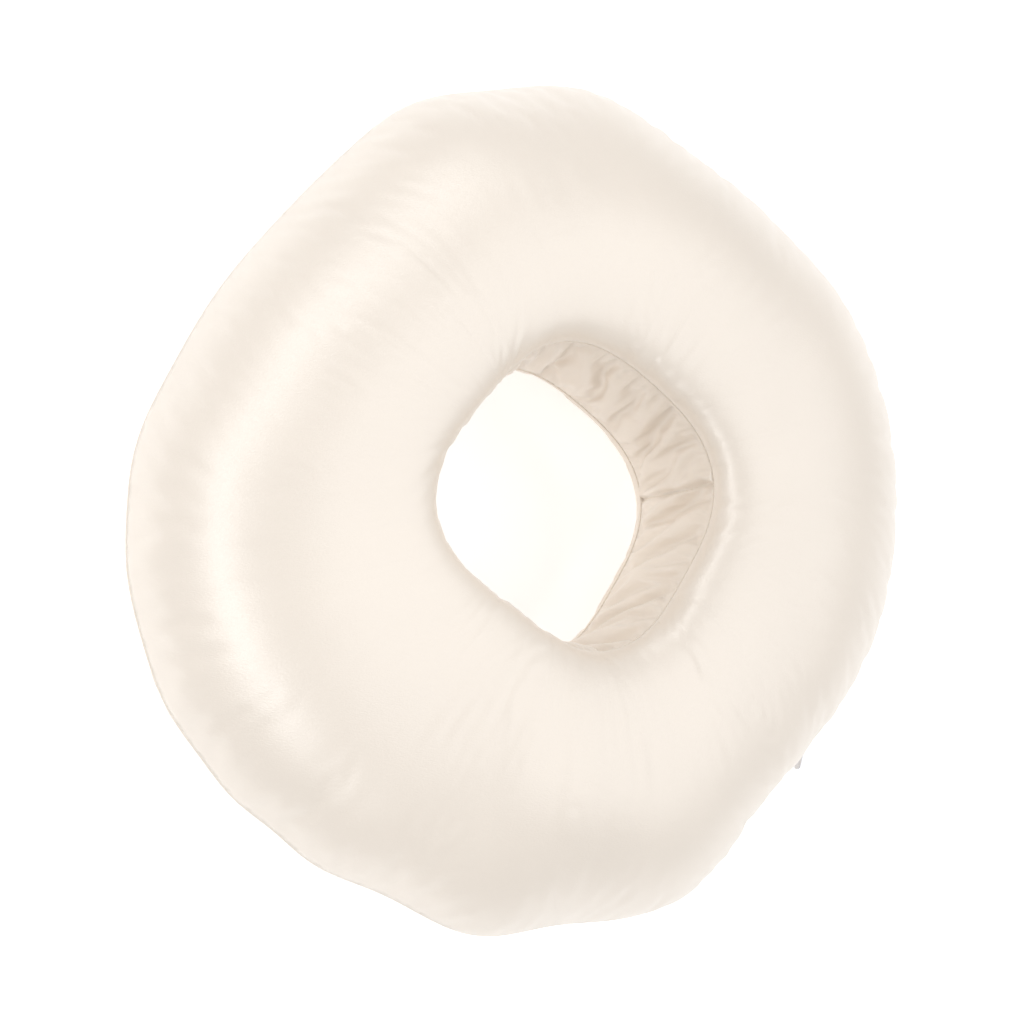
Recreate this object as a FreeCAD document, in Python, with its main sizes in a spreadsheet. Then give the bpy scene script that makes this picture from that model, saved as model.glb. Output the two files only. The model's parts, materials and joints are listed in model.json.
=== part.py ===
"""Face cradle cushion: a satin ring round a fibre insert, closed by a concealed zip in its outer seam.

The cushion lies flat with +Z up through its hole. The origin is on the table, under the middle of the
outline's box. Soft pieces are rings whose section changes a little round the hole, so each is one closed
spline surface. The zip follows a true arc about an axis of its own, so its pieces are revolved.
"""
import FreeCAD, Part
import math
import os

import Sketcher
from FreeCAD import Placement, Rotation, Vector

DOC = FreeCAD.newDocument("FaceCradleCushion")
SHEET = DOC.addObject("Spreadsheet::Sheet", "Sizes")

# Millimetres and degrees. An "_at" cell is the direction in which that lobe of an outline is widest.
SIZES = (
    ("seam_mean_radius", 165.0, "outer seam, mean over the whole turn"),
    ("seam_oval", 0.041, "two-lobed swell of the outer seam, as a share of its radius"),
    ("seam_oval_at", 34.5, "direction of that swell"),
    ("seam_tri", 0.010, "three-lobed swell of the outer seam"),
    ("seam_tri_at", 74.0, "direction of that swell"),
    ("seam_square", 0.025, "four-lobed swell of the outer seam"),
    ("seam_square_at", -7.0, "direction of that swell"),
    ("hole_mean_radius", 57.6, "rims of the hole, mean over the whole turn"),
    ("hole_oval", 0.012, "two-lobed swell of the hole"),
    ("hole_oval_at", 10.0, "direction of that swell"),
    ("hole_tri", 0.021, "three-lobed swell of the hole"),
    ("hole_tri_at", 45.0, "direction of that swell"),
    ("hole_square", 0.055, "four-lobed swell of the hole, which makes it a rounded diamond"),
    ("hole_square_at", -6.0, "direction of that swell"),
    ("rim_height", 29.0, "each rim seam above or below the outer seam's plane"),
    ("crest_height", 45.0, "front panel's crest above the outer seam's plane"),
    ("rest_height", 42.0, "outer seam's plane above the table, less than the crest because it sags"),
    ("crest_share", 0.33, "crest's distance from the hole, as a share of the ring's width"),
    ("shoulder_share", 0.63, "outer end of the crest's fullness, as a share of the ring's width"),
    ("edge_lean", 0.05, "lean of the panel where it leaves the outer seam, as a share of the width"),
    ("edge_rise", 0.48, "length of that steep stretch, as a share of the crest's height"),
    ("cloth", 0.6, "satin with its backing"),
    ("ply_gap", 0.1, "from the outer seam's plane to each panel's edge"),
    ("foot_trim", 0.05, "trimmed off the back panel's face where it rests, to make it truly flat"),
    ("thread_radius", 0.3, "sewing thread"),
    ("seam_thread_radius", 0.35, "doubled thread of the seams that run all the way round"),
    ("join_at", -8.0, "direction of the gusset's end-to-end seam"),
    ("seam_room", 12.0, "room inside the outer seam for its turnings and the zip"),
    ("insert_room", 1.3, "from the cover's outside to the insert, elsewhere"),
    ("casing_cloth", 0.4, "inner bag's cotton"),
    ("fill_gap", 0.4, "between the bag and the fibre, so that the two solids stay apart"),
    ("end_gap", 2.0, "between the insert's two ends"),
    ("end_at", 180.0, "direction of the insert's two ends"),
    ("zip_centre_x", 18.5, "axis of the zip's arc, from the ring's own axis"),
    ("zip_centre_y", 6.0, "axis of the zip's arc, from the ring's own axis"),
    ("zip_radius", 148.0, "the zip's line in the outer seam, from its own axis"),
    ("zip_closed_at", -61.0, "slider's direction from the zip's axis when closed"),
    ("zip_travel", 73.5, "slider's travel"),
    ("zip_blend", 16.0, "turn over which the outline leaves the zip's arc"),
    ("mouth_half", 1.2, "half the gap between the panels over the zip"),
    ("mouth_margin", 7.0, "turn by which that gap runs past the slider at each end of its travel"),
    ("tape_near", 1.15, "zip tape's side of the gap, from the seam's plane"),
    ("tape_cloth", 0.3, "zip tape"),
    ("tape_fold_depth", 2.2, "zip tape's fold, inside the zip's line"),
    ("tape_root_depth", 7.2, "zip tape's coiled edge, inside the zip's line"),
    ("tape_rise", 9.8, "zip tape's free edge above its fold"),
    ("tape_slant", 3.8, "zip tape's free edge inside its fold"),
    ("tape_margin", 5.0, "turn by which the tapes run past the slider"),
    ("coil_radius", 0.85, "zip coil, as a rod"),
    ("coil_depth", 6.4, "coils' line, inside the zip's line"),
    ("coil_side", 2.35, "coils' line, from the seam's plane"),
    ("coil_margin", 2.2, "turn by which the coils run past the slider's middle"),
    ("stop_side_near", 1.0, "zip stops' near face, from the seam's plane"),
    ("stop_side_far", 3.4, "zip stops' far face, from the seam's plane"),
    ("stop_depth_near", 5.3, "zip stops' outer face, inside the zip's line"),
    ("stop_depth_far", 7.6, "zip stops' inner face, inside the zip's line"),
    ("stop_turn", 0.6, "length of a zip stop, as a turn"),
    ("slider_turn", 3.48, "length of the slider, as a turn"),
    ("slider_back", 8.5, "slider's back plate, inside the zip's line"),
    ("slider_face", 4.4, "slider's flanges, inside the zip's line"),
    ("slider_half_width", 4.0, "slider across the zip"),
    ("slider_wall", 0.55, "slider's side walls"),
    ("slider_plate", 0.8, "slider's back plate"),
    ("slider_flange", 0.7, "slider's flanges"),
    ("slider_slot", 1.8, "half the slot between the flanges"),
    ("neck_half", 0.3, "half the thickness of the slider's neck and bridge"),
    ("neck_depth", 2.4, "top of the neck under the bridge, inside the zip's line"),
    ("bridge_out", 0.5, "middle of the bridge's bar, outside the zip's line"),
    ("bridge_bar", 0.6, "bridge's bar"),
    ("bridge_half_length", 3.4, "half the bridge"),
    ("bridge_leg", 0.7, "bridge's legs"),
    ("pull_tilt", 24.0, "pull's rest angle from the zip's tangent"),
    ("pull_plate", 0.6, "pull's thickness"),
    ("pull_eye_half", 0.95, "half the pull's width at its eye"),
    ("pull_eye_reach", 1.55, "centre of the eye's round end, from the bridge's bar"),
    ("pull_leaf_half", 2.2, "half the pull's width at its leaf"),
    ("pull_leaf_reach", 9.3, "centre of the leaf's round end, from the bridge's bar"),
    ("pull_slot_half", 0.45, "half the eye's slot across"),
    ("pull_slot_reach", 1.35, "centre of each round end of the slot, from the bridge's bar"),
    ("pull_edge", 0.12, "rounding of the pull's edges"),
)

ROUND = 48        # control sections round a ring
OUTER_POINTS = 9  # control points from the outer seam to the crest
INNER_POINTS = 6  # control points from the crest to the rim
THREAD_SIDES = 8  # flat sides of a thread


def fill_sheet():
    for row, (alias, value, note) in enumerate(SIZES, start=1):
        SHEET.set(f"A{row}", note)
        SHEET.set(f"B{row}", str(value))
        SHEET.setAlias(f"B{row}", alias)
    DOC.recompute()


def size(alias):
    return float(SHEET.get(alias))


def cell(alias):
    return f"{SHEET.Name}.{alias}"


# ---------------------------------------------------------------- outlines

def swell(name, angle):
    """Return how much wider than its mean an outline is in one direction."""
    share = 1.0
    for lobes, kind in ((2, "oval"), (3, "tri"), (4, "square")):
        widest = math.radians(size(f"{name}_{kind}_at"))
        share += size(f"{name}_{kind}") * math.cos(lobes * (angle - widest))
    return share


def hole_radius(angle):
    return size("hole_mean_radius") * swell("hole", angle)


def zip_line_radius(angle):
    """Return the distance from the ring's axis to the zip's arc."""
    x, y = size("zip_centre_x"), size("zip_centre_y")
    along = x * math.cos(angle) + y * math.sin(angle)
    across = x * math.sin(angle) - y * math.cos(angle)
    return along + math.sqrt(size("zip_radius") ** 2 - across ** 2)


def ring_direction(zip_angle):
    """Return the direction from the ring's axis of a point of the zip's arc."""
    x = size("zip_centre_x") + size("zip_radius") * math.cos(zip_angle)
    y = size("zip_centre_y") + size("zip_radius") * math.sin(zip_angle)
    return math.atan2(y, x)


def zip_share(angle):
    """Return 1 over the zip's stretch, falling smoothly to 0 on either side."""
    first = ring_direction(math.radians(size("zip_closed_at") - size("mouth_margin")))
    last = ring_direction(math.radians(size("zip_closed_at") + size("zip_travel") + size("mouth_margin")))
    middle, half = (first + last) / 2, (last - first) / 2
    beyond = abs((angle - middle + math.pi) % (2 * math.pi) - math.pi) - half
    step = min(max(beyond / math.radians(size("zip_blend")), 0.0), 1.0)
    return 1 - step * step * (3 - 2 * step)


def seam_radius(angle):
    free = size("seam_mean_radius") * swell("seam", angle)
    return free + zip_share(angle) * (zip_line_radius(angle) - free)


def ring_centre():
    """Return the ring's axis in the row's frame, whose origin is the middle of the outline's box."""
    angles = [math.radians(step / 4) for step in range(1440)]
    xs = [seam_radius(a) * math.cos(a) for a in angles]
    ys = [seam_radius(a) * math.sin(a) for a in angles]
    return Vector(-(min(xs) + max(xs)) / 2, -(min(ys) + max(ys)) / 2, size("rest_height"))


# ---------------------------------------------------------------- sections, as points (radius, height)

def bezier(corners, count):
    """Return count + 1 points of the cubic curve with these four corners."""
    points = []
    for step in range(count + 1):
        u = step / count
        weights = ((1 - u) ** 3, 3 * u * (1 - u) ** 2, 3 * u * u * (1 - u), u ** 3)
        points.append(tuple(sum(w * c[axis] for w, c in zip(weights, corners)) for axis in (0, 1)))
    return points


def upper_half(seam, hole, edge, crest, rim, lean):
    """Return the curve from the outer seam over the crest to the rim of the hole."""
    width = seam - hole
    crest_at = hole + size("crest_share") * width
    shoulder_at = hole + size("shoulder_share") * width
    inner_full = hole + 0.36 * size("crest_share") * width
    outer = bezier(((seam, edge), (seam - lean * width, edge + size("edge_rise") * crest),
                    (shoulder_at, crest), (crest_at, crest)), OUTER_POINTS)
    inner = bezier(((crest_at, crest), (inner_full, crest), (hole, (2 * crest + rim) / 3), (hole, rim)),
                   INNER_POINTS)
    return outer + inner[1:]


def lower_half(points, lowest):
    """Mirror a curve below the seam's plane and flatten it where it rests."""
    return [(r, max(-z, lowest)) for r, z in reversed(points)]


def inset(points, depth, closed=False):
    """Move a curve that runs counter-clockwise inwards by a depth."""
    count = len(points)
    moved = []
    for place, (r, z) in enumerate(points):
        before = points[place - 1] if closed else points[max(place - 1, 0)]
        after = points[(place + 1) % count] if closed else points[min(place + 1, count - 1)]
        dr, dz = after[0] - before[0], after[1] - before[1]
        length = math.hypot(dr, dz)
        moved.append((r - depth * dz / length, z + depth * dr / length))
    return moved


def band(points, depth):
    """Return the section of a cloth whose outer face follows the points."""
    return points + inset(points, depth)[::-1]


def cover_half(angle):
    return upper_half(seam_radius(angle), hole_radius(angle), size("ply_gap"), size("crest_height"),
                      size("rim_height"), size("edge_lean"))


def front_section(angle):
    return band(cover_half(angle), size("cloth"))


def back_section(angle):
    return band(lower_half(cover_half(angle), -size("rest_height") - size("foot_trim")), size("cloth"))


def gusset_section(angle):
    hole, top = hole_radius(angle), size("rim_height") - 2 * size("ply_gap")
    face = [(hole, top * (1 - 2 * step / INNER_POINTS)) for step in range(INNER_POINTS + 1)]
    return band(face, size("cloth"))


def insert_section(depth):
    """Return a section function for the insert's tube, inset by a depth."""
    room = size("insert_room")

    def section(angle):
        upper = upper_half(seam_radius(angle) - size("seam_room"), hole_radius(angle) + room, 0.0,
                           size("crest_height") - room, size("rim_height") - room, 0.0)
        lower = lower_half(upper, room - size("rest_height"))
        return inset(upper + lower[:-1], depth, closed=True)

    return section


def thread_section(radius_at, height):
    """Return a section function for a thread that follows an outline at one height."""
    turns = [2 * math.pi * step / THREAD_SIDES for step in range(THREAD_SIDES)]
    reach = size("seam_thread_radius")

    def section(angle):
        return [(radius_at(angle) + reach * math.cos(t), height + reach * math.sin(t)) for t in turns]

    return section


# ---------------------------------------------------------------- soft rings, as closed spline surfaces

def spline_gain(count):
    """Return how far a uniform cubic spline falls inside evenly spaced control points of a circle."""
    return (2 + math.cos(2 * math.pi / count)) / 3


def cubic_surface(rows, round_ends):
    """Return a cubic surface, closed across its section, and round the ring too if it has no ends."""
    count, across = len(rows), len(rows[0])
    spans = count - 3 if round_ends else count
    round_knots = list(range(spans + 1))
    round_mults = [4] + [1] * (spans - 1) + [4] if round_ends else [1] * (spans + 1)
    surface = Part.BSplineSurface()
    surface.buildFromPolesMultsKnots(rows, round_mults, [1] * (across + 1), round_knots,
                                     list(range(across + 1)), not round_ends, True, 3, 3)
    return surface.toShape()


def placed_row(section, angle, gain):
    across = Vector(math.cos(angle), math.sin(angle), 0) / gain
    return [across * r + Vector(0, 0, z) for r, z in section(angle)]


def closed_ring(section):
    """Return a solid ring with no ends."""
    gain = spline_gain(ROUND)
    rows = [placed_row(section, 2 * math.pi * step / ROUND, gain) for step in range(ROUND)]
    return Part.Solid(Part.Shell([cubic_surface(rows, False)]))


def open_rows(section, first, last):
    knots = [0] * 3 + list(range(ROUND + 1)) + [ROUND] * 3
    rows = []
    for place in range(ROUND + 3):
        along = sum(knots[place + 1:place + 4]) / 3 / ROUND
        gain = spline_gain(ROUND) if 1 < place < ROUND + 1 else 1.0
        rows.append(placed_row(section, first + (last - first) * along, gain))
    return rows


def open_ring(section, first, last):
    """Return a solid ring that starts and ends on flat faces at two directions."""
    skin = cubic_surface(open_rows(section, first, last), True)
    caps = [Part.Face(Part.Wire([edge])) for edge in skin.Edges if edge.isClosed()]
    return sewn_solid([skin] + caps)


def thread_sides(rows, round_ends):
    """Return the long flat-sided strips of a thread, one between each two neighbouring corners."""
    spans = len(rows) - 3 if round_ends else len(rows)
    mults = [4] + [1] * (spans - 1) + [4] if round_ends else [1] * (spans + 1)
    sides = []
    for corner in range(THREAD_SIDES):
        strip = [[row[corner], row[(corner + 1) % THREAD_SIDES]] for row in rows]
        surface = Part.BSplineSurface()
        surface.buildFromPolesMultsKnots(strip, mults, [2, 2], list(range(spans + 1)), [0, 1],
                                         not round_ends, False, 3, 1)
        sides.append(surface.toShape())
    return sides


def sewn_solid(faces):
    shell = Part.Shell(faces)
    shell.sewShape()
    return Part.Solid(shell)


def closed_thread(section):
    """Return a solid thread with no ends."""
    gain = spline_gain(ROUND)
    rows = [placed_row(section, 2 * math.pi * step / ROUND, gain) for step in range(ROUND)]
    return sewn_solid(thread_sides(rows, False))


def open_thread(section, first, last):
    """Return a solid thread that starts and ends on flat faces at two directions."""
    rows = open_rows(section, first, last)
    caps = [Part.Face(Part.makePolygon([*row, row[0]])) for row in (rows[0], rows[-1])]
    return sewn_solid(thread_sides(rows, True) + caps)


def soft_piece(label, shape):
    piece = DOC.addObject("Part::Feature", label)
    piece.Label = label
    piece.Shape = shape
    piece.Placement = Placement(ring_centre(), Rotation())
    return piece


def soft_ring(label, section):
    return soft_piece(label, closed_ring(section))


def cut(label, base, tool):
    piece = DOC.addObject("Part::Cut", label)
    piece.Label = label
    piece.Base = base
    piece.Tool = tool
    return piece


def zip_mouth():
    """Return the flat sector that parts the two panels over the zip's stretch."""
    sector = DOC.addObject("Part::Cylinder", "zip_mouth_sector")
    sector.setExpression("Radius", f"{cell('zip_radius')} + {cell('seam_room')}")
    sector.setExpression("Height", f"2 * {cell('mouth_half')}")
    sector.setExpression("Angle", f"{cell('zip_travel')} + 2 * {cell('mouth_margin')}")
    start = size("zip_closed_at") - size("mouth_margin")
    sector.Placement = Placement(zip_axis() - Vector(0, 0, size("mouth_half")),
                                 Rotation(Vector(0, 0, 1), start))
    return sector


def below_table():
    """Return a block under the table's plane, which trims the underside flat."""
    block = DOC.addObject("Part::Cylinder", "below_table")
    block.setExpression("Radius", f"2 * {cell('seam_mean_radius')}")
    block.setExpression("Height", f"10 * {cell('foot_trim')}")
    block.Placement = Placement(Vector(0, 0, -10 * size("foot_trim")), Rotation())
    return block


def insert_end():
    """Return the direction of the insert's two ends, and the ring's mid-width radius there."""
    direction = math.radians(size("end_at"))
    return direction, (seam_radius(direction) + hole_radius(direction)) / 2


def insert_piece(label, section, depth, build=open_ring):
    """Build a ring that stops short of the insert's two ends by a depth."""
    direction, middle = insert_end()
    turn = (size("end_gap") / 2 + depth) / middle
    return soft_piece(label, build(section, direction + turn, direction + 2 * math.pi - turn))


def build_cover():
    mouth = zip_mouth()
    cut("front_panel", soft_ring("front_panel_ring", front_section), mouth)
    untrimmed = cut("back_panel_untrimmed", soft_ring("back_panel_ring", back_section), mouth)
    cut("back_panel", untrimmed, below_table())
    soft_ring("hole_gusset", gusset_section)

    def seam_line(angle):
        return seam_radius(angle) - 2 * size("seam_thread_radius")

    def rim_line(angle):
        return hole_radius(angle) + size("cloth") / 2

    seam = soft_piece("outer_seam_ring", closed_thread(thread_section(seam_line, 0.0)))
    cut("outer_seam_thread", seam, mouth)
    rim = size("rim_height") - size("ply_gap")
    soft_piece("front_rim_thread", closed_thread(thread_section(rim_line, rim)))
    soft_piece("back_rim_thread", closed_thread(thread_section(rim_line, -rim)))

    join = DOC.addObject("Part::Cylinder", "gusset_join_thread")
    join.setExpression("Radius", cell("thread_radius"))
    join.setExpression("Height", f"2 * {cell('rim_height')} - 8 * {cell('thread_radius')}")
    direction = math.radians(size("join_at"))
    foot = Vector(math.cos(direction), math.sin(direction), 0) * rim_line(direction)
    drop = Vector(0, 0, 4 * size("thread_radius") - size("rim_height"))
    join.Placement = Placement(ring_centre() + foot + drop, Rotation())


def build_insert():
    wall = size("casing_cloth")
    depth = wall + size("fill_gap")
    outside = insert_piece("casing_outside", insert_section(0.0), 0.0)
    cavity = insert_piece("casing_cavity", insert_section(wall), wall)
    cut("insert_casing", outside, cavity)
    insert_piece("insert_fill", insert_section(depth), depth)

    def nose_line(angle):
        return seam_radius(angle) - size("seam_room")

    insert_piece("insert_seam_thread", thread_section(nose_line, 0.0), 0.0, open_thread)

    direction, middle = insert_end()
    along = Vector(math.cos(direction), math.sin(direction), 0) * middle
    across = Vector(-math.sin(direction), math.cos(direction), 0) * size("end_gap") / 2
    closings = []
    for side in (-1, 1):
        line = DOC.addObject("Part::Cylinder", "insert_end_thread")
        line.setExpression("Radius", cell("thread_radius"))
        line.setExpression("Height", cell("crest_height"))
        foot = ring_centre() + along + across * side - Vector(0, 0, size("crest_height") / 2)
        line.Placement = Placement(foot, Rotation())
        closings.append(line)
    pair = DOC.addObject("Part::Compound", "insert_end_threads")
    pair.Links = closings


# ---------------------------------------------------------------- zip, as PartDesign bodies on its own axis

def zip_axis():
    return ring_centre() + Vector(size("zip_centre_x"), size("zip_centre_y"), 0)


def new_body(label, zip_angle):
    """Return a body on the zip's axis, whose +X points along the zip angle."""
    body = DOC.addObject("PartDesign::Body", label)
    body.Label = label
    body.Placement = Placement(zip_axis(), Rotation(Vector(0, 0, 1), zip_angle))
    return body


def new_sketch(body, plane, name):
    sketch = body.newObject("Sketcher::SketchObject", name)
    origin_plane = next(f for f in body.Origin.OriginFeatures if f.Role == plane)
    sketch.AttachmentSupport = [(origin_plane, "")]
    sketch.MapMode = "FlatFace"
    return sketch


def pin_point(sketch, geometry, end, x, y):
    """Fix one point of a sketch at two formulas of the sheet's cells, from the sketch's origin."""
    for kind, formula in (("DistanceX", x), ("DistanceY", y)):
        index = sketch.addConstraint(Sketcher.Constraint(kind, -1, 1, geometry, end, 0.0))
        sketch.setExpression(f"Constraints[{index}]", formula)


def polygon(sketch, corners):
    """Draw a closed polygon whose corners are pairs of formulas."""
    values = [Vector(evaluate(x), evaluate(y), 0) for x, y in corners]
    count = len(corners)
    for place in range(count):
        sketch.addGeometry(Part.LineSegment(values[place], values[(place + 1) % count]), False)
    for place in range(count):
        sketch.addConstraint(Sketcher.Constraint("Coincident", place, 2, (place + 1) % count, 1))
        pin_point(sketch, place, 1, *corners[place])


def disc(sketch, x, y, radius):
    centre = Vector(evaluate(x), evaluate(y), 0)
    circle = sketch.addGeometry(Part.Circle(centre, Vector(0, 0, 1), evaluate(radius)), False)
    pin_point(sketch, circle, 3, x, y)
    index = sketch.addConstraint(Sketcher.Constraint("Radius", circle, evaluate(radius)))
    sketch.setExpression(f"Constraints[{index}]", radius)


def evaluate(formula):
    """Return the value of a formula of the sheet's cells."""
    return float(SHEET.evalExpression(formula))


def tapered_slot(sketch, low, low_radius, high, high_radius):
    """Draw two round ends on the sketch's X axis, joined by the lines that touch both."""
    lean = math.asin((high_radius - low_radius) / (high - low))
    side = Vector(-math.sin(lean), math.cos(lean), 0)
    mirror = Vector(side.x, -side.y, 0)
    centres = Vector(low, 0, 0), Vector(high, 0, 0)
    top = Part.LineSegment(centres[0] + side * low_radius, centres[1] + side * high_radius)
    bottom = Part.LineSegment(centres[1] + mirror * high_radius, centres[0] + mirror * low_radius)
    high_end = Part.Arc(top.EndPoint, centres[1] + Vector(high_radius, 0, 0), bottom.StartPoint)
    low_end = Part.Arc(bottom.EndPoint, centres[0] - Vector(low_radius, 0, 0), top.StartPoint)
    for line in (top, high_end, bottom, low_end):
        sketch.addGeometry(line, False)


def revolve(body, sketch, turn):
    """Turn a sketch's section about the zip's axis, half the turn each way."""
    ring = body.newObject("PartDesign::Revolution", "Turned")
    ring.Profile = sketch
    ring.ReferenceAxis = (sketch, ["V_Axis"])
    ring.Midplane = True
    ring.setExpression("Angle", turn)
    sketch.Visibility = False
    return ring


def inside(alias):
    """Return the formula for a radius that lies inside the zip's line."""
    return f"{cell('zip_radius')} - {cell(alias)}"


def run_middle():
    """Return the zip angle of the middle of the slider's travel."""
    return size("zip_closed_at") + size("zip_travel") / 2


def build_tape(side, sign):
    """Build one zip tape, folded back along its panel, and the line that sews it there."""
    near, thick = f"{sign} * {cell('tape_near')}", f"{sign} * {cell('tape_cloth')}"
    rise = f"{sign} * {cell('tape_rise')}"
    fold, root = inside("tape_fold_depth"), inside("tape_root_depth")
    body = new_body(f"zip_tape_{side}", run_middle())
    sketch = new_sketch(body, "XZ_Plane", "Section")
    polygon(sketch, (
        (root, near),
        (fold, near),
        (f"{fold} - {cell('tape_slant')}", f"{near} + {rise}"),
        (f"{fold} - {cell('tape_slant')} - {cell('tape_cloth')}", f"{near} + {rise}"),
        (f"{fold} - {cell('tape_cloth')} - {cell('tape_slant')} * {cell('tape_cloth')} / {cell('tape_rise')}",
         f"{near} + {thick}"),
        (root, f"{near} + {thick}"),
    ))
    turn = f"{cell('zip_travel')} + 2 * {cell('tape_margin')}"
    revolve(body, sketch, turn)

    line = new_body(f"zip_tape_{side}_thread", run_middle())
    sketch = new_sketch(line, "XZ_Plane", "Section")
    disc(sketch, f"{fold} - 0.75 * {cell('tape_slant')}", f"{near} + 0.8 * {rise}",
         f"1.6 * {cell('thread_radius')}")
    revolve(line, sketch, turn)


def build_coil(side, sign):
    body = new_body(f"zip_coil_{side}", run_middle())
    sketch = new_sketch(body, "XZ_Plane", "Section")
    disc(sketch, inside("coil_depth"), f"{sign} * {cell('coil_side')}", cell("coil_radius"))
    revolve(body, sketch, f"{cell('zip_travel')} + 2 * {cell('coil_margin')}")


def stop_section(sketch, low, high):
    outer, inner = inside("stop_depth_near"), inside("stop_depth_far")
    polygon(sketch, ((inner, low), (outer, low), (outer, high), (inner, high)))


def build_stops():
    """Build the pair of stops past the closed end and the single stop past the open end."""
    past = size("coil_margin") + size("stop_turn") / 2
    near, far = cell("stop_side_near"), cell("stop_side_far")
    halves = []
    for sign in (1, -1):
        body = new_body(f"top_stop_{'front' if sign > 0 else 'back'}", size("zip_closed_at") - past)
        sketch = new_sketch(body, "XZ_Plane", "Section")
        stop_section(sketch, f"{sign} * {near}", f"{sign} * {far}")
        revolve(body, sketch, cell("stop_turn"))
        halves.append(body)
    pair = DOC.addObject("Part::Compound", "zip_top_stops")
    pair.Links = halves

    body = new_body("zip_bottom_stop", size("zip_closed_at") + size("zip_travel") + past)
    sketch = new_sketch(body, "XZ_Plane", "Section")
    stop_section(sketch, f"-{far}", far)
    revolve(body, sketch, cell("stop_turn"))


def build_slider():
    """Build the slider: two channels round the coils, a neck between them and a bridge for the pull."""
    back, face = inside("slider_back"), inside("slider_face")
    floor = f"{back} + {cell('slider_plate')}"
    ledge = f"{face} - {cell('slider_flange')}"
    top = inside("neck_depth")
    wide, slot, neck = cell("slider_half_width"), cell("slider_slot"), cell("neck_half")
    channel = f"({wide} - {cell('slider_wall')})"
    upper = ((face, wide), (face, slot), (ledge, slot), (ledge, channel), (floor, channel), (floor, neck),
             (top, neck))
    lower = tuple((r, f"-{z}") for r, z in reversed(upper))
    body = new_body("zip_slider", size("zip_closed_at"))
    section = new_sketch(body, "XZ_Plane", "Section")
    polygon(section, ((back, f"-{wide}"), (back, wide)) + upper + lower)
    revolve(body, section, cell("slider_turn"))

    bar = f"{cell('zip_radius')} + {cell('bridge_out')}"
    bar_top = f"{bar} + {cell('bridge_bar')} / 2"
    bar_low = f"{bar} - {cell('bridge_bar')} / 2"
    foot = f"{top} - {cell('slider_flange')}"
    outer = cell("bridge_half_length")
    leg = f"({outer} - {cell('bridge_leg')})"
    arch = new_sketch(body, "XY_Plane", "Arch")
    polygon(arch, ((foot, f"-{outer}"), (bar_top, f"-{outer}"), (bar_top, outer), (foot, outer),
                   (foot, leg), (bar_low, leg), (bar_low, f"-{leg}"), (foot, f"-{leg}")))
    bridge = body.newObject("PartDesign::Pad", "Bridge")
    bridge.Profile = arch
    bridge.Midplane = True
    bridge.setExpression("Length", f"2 * {neck}")


def pull_pivot():
    """Return the middle of the bridge's bar in the row's frame."""
    angle = math.radians(size("zip_closed_at"))
    reach = size("zip_radius") + size("bridge_out")
    return zip_axis() + Vector(math.cos(angle), math.sin(angle), 0) * reach


def build_pull():
    """Build the teardrop pull: +X runs from the bar to its tip, and +Y lies across the zip."""
    body = DOC.addObject("PartDesign::Body", "zip_pull")
    body.Label = "zip_pull"
    outline = new_sketch(body, "XY_Plane", "Outline")
    tapered_slot(outline, -size("pull_eye_reach"), size("pull_eye_half"),
                 size("pull_leaf_reach"), size("pull_leaf_half"))
    plate = body.newObject("PartDesign::Pad", "Plate")
    plate.Profile = outline
    plate.Midplane = True
    plate.setExpression("Length", cell("pull_plate"))
    DOC.recompute()
    whole = plate.Shape.Volume

    eye = new_sketch(body, "XY_Plane", "Eye")
    tapered_slot(eye, -size("pull_slot_reach"), size("pull_slot_half"),
                 size("pull_slot_reach"), size("pull_slot_half"))
    slot = body.newObject("PartDesign::Pocket", "Slot")
    slot.Profile = eye
    slot.Midplane = True
    slot.setExpression("Length", f"2 * {cell('pull_plate')}")
    DOC.recompute()
    if slot.Shape.Volume >= whole:
        raise RuntimeError("the pull's slot cut nothing")

    flats = [f"Face{place}" for place, face in enumerate(slot.Shape.Faces, start=1)
             if abs(abs(face.normalAt(0, 0).z) - 1) < 1e-6 and abs(face.CenterOfMass.z) > 1e-3]
    edge = body.newObject("PartDesign::Fillet", "Edge")
    edge.Base = (slot, flats)
    edge.setExpression("Radius", cell("pull_edge"))

    closing = size("zip_closed_at") - 90
    lie_across = Rotation(Vector(1, 0, 0), 90)
    point_along = Rotation(Vector(0, 0, 1), closing + size("pull_tilt"))
    body.Placement = Placement(pull_pivot(), point_along * lie_across)


def build_zip():
    for side, sign in (("front", 1), ("back", -1)):
        build_tape(side, sign)
        build_coil(side, sign)
    build_stops()
    build_slider()
    build_pull()


# ---------------------------------------------------------------- checks and export

NODES = (
    "front_panel", "back_panel", "hole_gusset", "outer_seam_thread", "front_rim_thread", "back_rim_thread",
    "gusset_join_thread", "zip_tape_front", "zip_tape_back", "zip_tape_front_thread",
    "zip_tape_back_thread", "zip_coil_front", "zip_coil_back", "zip_top_stops", "zip_bottom_stop",
    "zip_slider", "zip_pull", "insert_casing", "insert_fill", "insert_seam_thread", "insert_end_threads",
)


def check_document():
    for item in DOC.Objects:
        if "Invalid" in item.State or "Error" in item.State:
            raise RuntimeError(f"{item.Label} failed: {item.State}")


def export_nodes():
    os.makedirs("parts", exist_ok=True)
    for label in NODES:
        piece = DOC.getObjectsByLabel(label)[0]
        if piece.Shape.isNull() or not piece.Shape.isValid():
            raise RuntimeError(f"{label} has no valid shape")
        piece.Shape.exportStep(f"parts/{label}.step")
        print(f"{label}: {len(piece.Shape.Solids)} solid(s), {piece.Shape.Volume:.1f} mm3")


fill_sheet()
build_cover()
build_insert()
build_zip()
DOC.recompute()
check_document()
export_nodes()
print("zip axis", zip_axis())
print("pull pivot", pull_pivot())
print("ring axis", ring_centre())
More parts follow.
